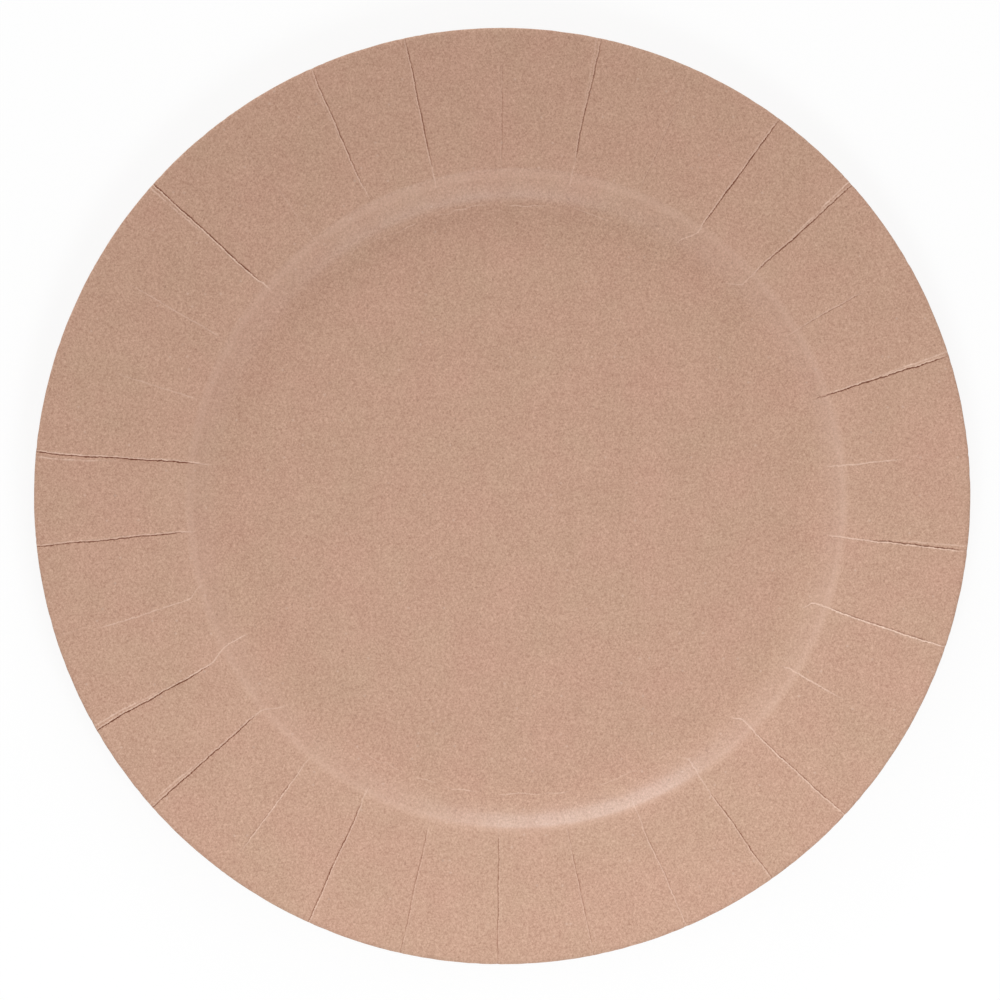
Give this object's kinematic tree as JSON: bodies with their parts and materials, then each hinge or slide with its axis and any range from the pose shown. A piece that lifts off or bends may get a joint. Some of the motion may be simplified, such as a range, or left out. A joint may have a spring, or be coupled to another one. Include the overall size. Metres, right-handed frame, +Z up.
{
  "type": "paper plate",
  "caption": "Round pressed paperboard plate with a flat floor, a shallow curved wall and a wide sloping rim of pressed pleats, for serving food once.",
  "frame": {"origin": "under the middle of the cut outline, on the surface that the plate stands on", "axes": "+Z up out of the well, +X to the right and +Y to the back as the plate is looked down on"},
  "size_m": [0.225, 0.225, 0.0127],
  "materials": {
    "board": "uncoated, pressed smooth on the wall and shoulder"
  },
  "bodies": {
    "root": {"plate": "board"}
  },
  "joints": []
}
